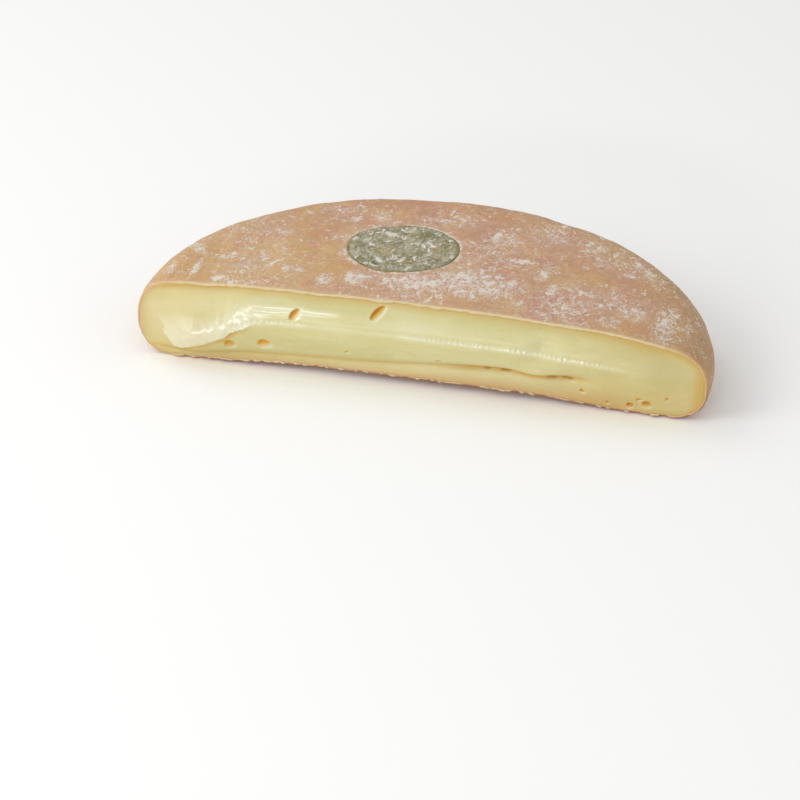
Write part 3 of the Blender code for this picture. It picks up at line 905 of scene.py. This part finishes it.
def rindMaterial():
    # washed rind: a skin of dried curd and bacteria rubbed with brine, under white mould that
    # was partly wiped off; dull, tan where thin, pink where ripe, with smeared white flecks
    material, node = newMaterial("washedRind")
    place = node("TexCoord", output="Object")
    mask = {key: node("Attribute", output="Fac", attribute_name=key)
            for key in ("lip", "underLipAndShadow", "atEnd", "halo", "bloom", "ripe", "side")}
    colour = node("Mix", {0: mask["ripe"], 6: rindLook["tan"], 7: rindLook["pink"]}, **colourMix)
    colour = layPatches(node, place, colour, rindLook["patches"])
    # browner at the side and rim: partly the rind's ochre, partly painted shade
    aside = node("Math", {0: mask["side"], 1: 0.7}, operation="MULTIPLY")
    colour = node("Mix", {0: aside, 6: colour, 7: rindLook["side"]}, **colourMix)

    # flecks: noise over a level that falls where the mould is dense; veins: thin bands where
    # another noise passes its middle, broken up by a third
    noises = {}
    for key, (width, stretch, detail) in rindLook["noises"].items():
        moved = node("Mapping", {"Vector": place, "Location": (width, 2 * width, 0),
                                 "Scale": patternScale(width, stretch)})
        noises[key] = node("TexNoise", {"Vector": moved, "Scale": 1, "Detail": detail, "Roughness": 0.64,
                                        "Distortion": 0.9})
    level = node("MapRange", {0: mask["bloom"], 1: 0, 2: 1.2, 3: 0.64, 4: 0.42})
    over = node("Math", {0: noises["fleck"], 1: level}, operation="SUBTRACT")
    flecks = node("MapRange", {0: over, 1: 0, 2: 0.05}, **smoothRange)
    centred = node("Math", {0: noises["vein"], 1: 0.5}, operation="SUBTRACT")
    fromMiddle = node("Math", {0: centred}, operation="ABSOLUTE")
    veins = node("MapRange", {0: fromMiddle, 1: 0.034, 2: 0.012}, **smoothRange)
    brokenOver = node("Math", {0: noises["broken"], 1: level}, operation="SUBTRACT")
    broken = node("MapRange", {0: brokenOver, 1: -0.05, 2: 0.02}, **smoothRange)
    veins = node("Math", {0: veins, 1: broken}, operation="MULTIPLY")
    haze = node("MapRange", {0: noises["dust"], 1: 0.42, 2: 0.58, 4: 0.75}, **smoothRange)
    haze = node("Math", {0: haze, 1: mask["bloom"]}, operation="MULTIPLY")
    halo = node("MapRange", {0: noises["fleck"], 1: 0.44, 2: 0.58, 3: 0.05, 4: 0.9}, **smoothRange)
    halo = node("Math", {0: halo, 1: mask["halo"]}, operation="MULTIPLY")
    white = node("Math", {0: flecks, 1: veins}, operation="MAXIMUM")
    white = node("Math", {0: white, 1: haze}, operation="MAXIMUM")
    white = node("Math", {0: white, 1: halo}, operation="MAXIMUM", use_clamp=True)
    grainy = node("MapRange", {0: noises["dust"], 1: 0.3, 2: 0.6, 3: 0.6, 4: 0.9})
    shown = node("Math", {0: white, 1: grainy}, operation="MULTIPLY")
    colour = node("Mix", {0: shown, 6: colour, 7: rindLook["mould"]}, **colourMix)

    # where the rind is cut: cream along the flats, peach round the ends, and reddish brown underneath,
    # darkened there into a painted contact shadow
    cut = node("Mix", {0: mask["atEnd"], 6: rindLook["cream"], 7: rindLook["peach"]}, **colourMix)
    colour = node("Mix", {0: mask["lip"], 6: colour, 7: cut}, **colourMix)
    colour = node("Mix", {0: mask["underLipAndShadow"], 6: colour, 7: rindLook["undersideAndShadow"]}, **colourMix)

    height = node("Math", {0: white, 1: 0.5, 2: noises["dust"]}, operation="MULTIPLY_ADD")
    bump = node("Bump", {"Height": height, "Distance": 0.0002, "Strength": 0.5})
    shader = node("BsdfPrincipled", {
        "Base Color": colour,
        "Roughness": node("MapRange", {0: white, 3: 0.62, 4: 0.85}),
        "Normal": bump,
        "IOR": 1.45,
        "Specular IOR Level": 0.3,
        "Sheen Weight": 0.06,
        "Sheen Roughness": 0.6,
        "Subsurface Weight": 0.1,
        "Subsurface Radius": (1.6, 0.9, 0.5),
        "Subsurface Scale": 0.0008,
    })
    node("OutputMaterial", {"Surface": shader})
    return material


pasteLook = {
    "ground": "#c9c18a",
    # colour, width in mm, stretch along x, y and z, first and full noise level, share
    "patches": [
        ("#d3cc9b", 9, (2.2, 1, 1), 0.42, 0.62, 0.6),
        ("#c3b87e", 1.8, (2.2, 1, 1), 0.50, 0.68, 0.3),
    ],
    # the torn lobe's whiter paste, and painted highlights on the crest, the glare bands and the eyes'
    # rims
    "pale": "#dadac0",
    "strip": "#bd9565",
    # painted shade under the lip, towards the ends and at the lower right
    "golden": "#c39f4c",
    "peach": "#c9ad76",
    # painted shade in the eyes, under the crease and under the torn lobe
    "deep": "#d3981c",
    # how much of each look's colour shows where its mask is full, laid on in this order
    "shares": {"strip": 0.75, "pale": 0.85, "golden": 0.85, "deep": 0.95},
}


def pasteMaterial():
    # ripe soft paste: butterfat and curd, cut with a knife and flowing since; light goes in
    # and comes out yellow, a painted golden shade lies in every hollow, and the swollen parts
    # shine with whey under a coat, with painted highlights on them
    material, node = newMaterial("ripePaste")
    place = node("TexCoord", output="Object")
    mask = {key: node("Attribute", output="Fac", attribute_name=key)
            for key in ("golden", "deep", "pale", "wet", "strip", "atEnd")}
    colour = layPatches(node, place, pasteLook["ground"], pasteLook["patches"])
    for key, share in pasteLook["shares"].items():
        hue = pasteLook[key]
        if key == "golden":
            hue = node("Mix", {0: mask["atEnd"], 6: hue, 7: pasteLook["peach"]}, **colourMix)
        shown = node("Math", {0: mask[key], 1: share}, operation="MULTIPLY")
        colour = node("Mix", {0: shown, 6: colour, 7: hue}, **colourMix)

    # knife scratches along the cut, 0.5 mm apart, and a fine grain drawn at 0.4 mm
    heights = []
    for width, stretch in ((0.5, (30, 30, 1)), (0.4, (1, 1, 1))):
        moved = node("Mapping", {"Vector": place, "Scale": patternScale(width, stretch)})
        heights.append(node("TexNoise", {"Vector": moved, "Scale": 1, "Detail": 3, "Roughness": 0.6}))
    height = node("Math", {0: heights[1], 1: 0.3, 2: heights[0]}, operation="MULTIPLY_ADD")
    bump = node("Bump", {"Height": height, "Distance": 0.00008, "Strength": 0.35})
    shader = node("BsdfPrincipled", {
        "Base Color": colour,
        "Roughness": node("MapRange", {0: mask["wet"], 3: 0.5, 4: 0.25}),
        "Normal": bump,
        "IOR": 1.46,
        "Subsurface Weight": 0.4,
        "Subsurface Radius": (1.0, 0.75, 0.35),
        "Subsurface Scale": 0.0022,
        "Coat Weight": mask["wet"],
        "Coat Roughness": 0.19,
        "Coat IOR": 1.5,
    })
    node("OutputMaterial", {"Surface": shader})
    return material


caseinLook = {
    "ground": "#86805a",
    # colour, width in mm, stretch along x, y and z, first and full noise level, share
    "patches": [
        ("#a5a087", 4.5, (1, 1.5, 1), 0.38, 0.60, 0.65),
        ("#5a5743", 1.9, (1, 1.5, 1), 0.56, 0.66, 0.75),
        ("#c0b08c", 2.8, (1, 1.5, 1), 0.52, 0.66, 0.7),
        ("#b9b39f", 1.3, (1, 1.5, 1), 0.48, 0.58, 0.7),
        ("#c6a669", 3.0, (1, 1.5, 1), 0.57, 0.65, 0.55),
        ("#66654f", 0.9, (1, 1.5, 1), 0.55, 0.64, 0.65),
        ("#d6d1bf", 1.8, (1, 1.5, 1), 0.57, 0.62, 0.9),
        ("#e3e1d8", 3.0, (1, 1.5, 1), 0.63, 0.655, 0.95),
    ],
    "mould": "#e1dfd6",
    "rim": "#79744c",
}


def caseinMaterial():
    # green casein: dyed milk protein pressed into a thin disc, half eaten by mould; matt,
    # with ragged grey-white and ochre flecks over an olive ground
    material, node = newMaterial("greenCasein")
    place = node("TexCoord", output="Object")
    rim = node("Attribute", output="Fac", attribute_name="rimShare")
    mould = node("Attribute", output="Fac", attribute_name="mould")
    colour = layPatches(node, place, caseinLook["ground"], caseinLook["patches"])
    atRim = node("MapRange", {0: rim, 1: 0.93, 2: 0.985, 4: 0.75}, **smoothRange)
    colour = node("Mix", {0: atRim, 6: colour, 7: caseinLook["rim"]}, **colourMix)
    moved = node("Mapping", {"Vector": place, "Scale": patternScale(0.8)})
    grain = node("TexNoise", {"Vector": moved, "Scale": 1, "Detail": 4, "Roughness": 0.65})

    # the mould's patches, their edges frayed by a noise 1.2 mm wide
    moved = node("Mapping", {"Vector": place, "Scale": patternScale(1.2, (1, 1.5, 1))})
    fray = node("TexNoise", {"Vector": moved, "Scale": 1, "Detail": 4, "Roughness": 0.6,
                             "Distortion": 0.8})
    frayed = node("Math", {0: fray, 1: 2.4, 2: mould}, operation="MULTIPLY_ADD")
    eaten = node("MapRange", {0: frayed, 1: 1.70, 2: 1.95, 4: 0.85}, **smoothRange)
    colour = node("Mix", {0: eaten, 6: colour, 7: caseinLook["mould"]}, **colourMix)
    bump = node("Bump", {"Height": grain, "Distance": 0.0003, "Strength": 0.6})
    shader = node("BsdfPrincipled", {
        "Base Color": colour,
        "Roughness": node("MapRange", {0: grain, 1: 0.3, 2: 0.7, 3: 0.62, 4: 0.85}),
        "Normal": bump,
        "IOR": 1.5,
        "Specular IOR Level": 0.4,
    })
    node("OutputMaterial", {"Surface": shader})
    return material


# Stage: a large soft light at the front left, a thin one low in front whose reflection lies
# along the wet crest, and light from all round

stage = {
    "floorSize": 3.0,          # m
    "floor": "#fefefd",
    "sky": 0.65,
    # power in W, place in m, width and height in m
    "lights": {
        "key": (2.3, (-0.58, -0.42, 0.42), 0.45, 0.45),
        "fill": (0.35, (0.9, -0.9, 0.5), 0.8, 0.8),
        "strip": (2.6, (-0.25, -1.1, 0.24), 0.5, 0.05),
        "back": (2.7, (-0.9, 0.45, 0.95), 0.7, 0.7),
    },
}


def addLight(name, power, place, width, height):
    data = bpy.data.lights.new(name, "AREA")
    data.energy = power
    data.shape = "RECTANGLE"
    data.size = width
    data.size_y = height
    light = addObject(name, data)
    light.location = place
    light.rotation_euler = (Vector(place) - Vector((0, 0, 0.01))).to_track_quat("Z", "Y").to_euler()


def makeStage():
    mesh = bpy.data.meshes.new("floor")
    half = stage["floorSize"] / 2
    corners = [(-half, -half, 0), (half, -half, 0), (half, half, 0), (-half, half, 0)]
    mesh.from_pydata(corners, [], [(0, 1, 2, 3)])
    floor = addObject("floor", mesh)
    material, node = newMaterial("paleFloor")
    shader = node("BsdfPrincipled", {"Base Color": stage["floor"], "Roughness": 0.9})
    node("OutputMaterial", {"Surface": shader})
    mesh.materials.append(material)
    world = bpy.data.worlds.new("softbox")
    world.use_nodes = True
    background = world.node_tree.nodes["Background"]
    background.inputs["Color"].default_value = (1, 1, 1, 1)
    background.inputs["Strength"].default_value = stage["sky"]
    bpy.context.scene.world = world
    for name, settings in stage["lights"].items():
        addLight(name, *settings)
    bpy.context.scene.view_settings.view_transform = "Standard"


makeCamera()
makeStage()
print("camera, floor and lights in place")

rindPiece = makeRind()
pastePiece = makePaste()
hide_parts("cheese")
markPiece = makeMark()
rindPiece.data.materials.append(rindMaterial())
pastePiece.data.materials.append(pasteMaterial())
markPiece.data.materials.append(caseinMaterial())
print("looks done")
